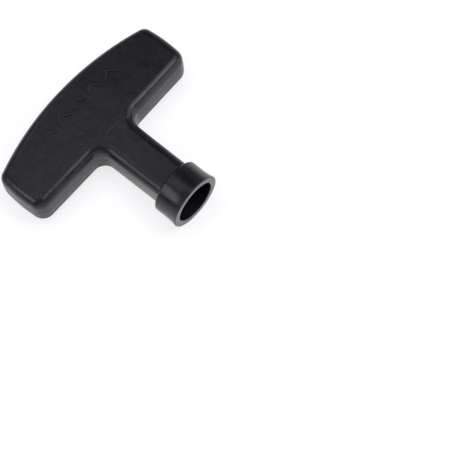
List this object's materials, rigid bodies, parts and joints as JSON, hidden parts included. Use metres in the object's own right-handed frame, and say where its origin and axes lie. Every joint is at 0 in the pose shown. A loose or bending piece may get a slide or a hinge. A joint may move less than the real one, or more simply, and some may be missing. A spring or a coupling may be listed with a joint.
{
  "type": "recoil starter handle",
  "caption": "T-shaped pull handle with a cross grip, a stem and a flared collar, open along its rope axis for a knotted starter rope.",
  "frame": {"origin": "centre of the collar's mouth, on the axis of the rope", "axes": "+X along the cross grip, +Y along the rope from the collar's mouth to the crown of the grip, +Z out of the front face"},
  "size_m": [0.096, 0.0782, 0.0264],
  "materials": {
    "handle_rubber": "satin black hard rubber, compression moulded, with a very fine grain"
  },
  "bodies": {
    "root": {"starter_handle": "handle_rubber"}
  },
  "joints": []
}
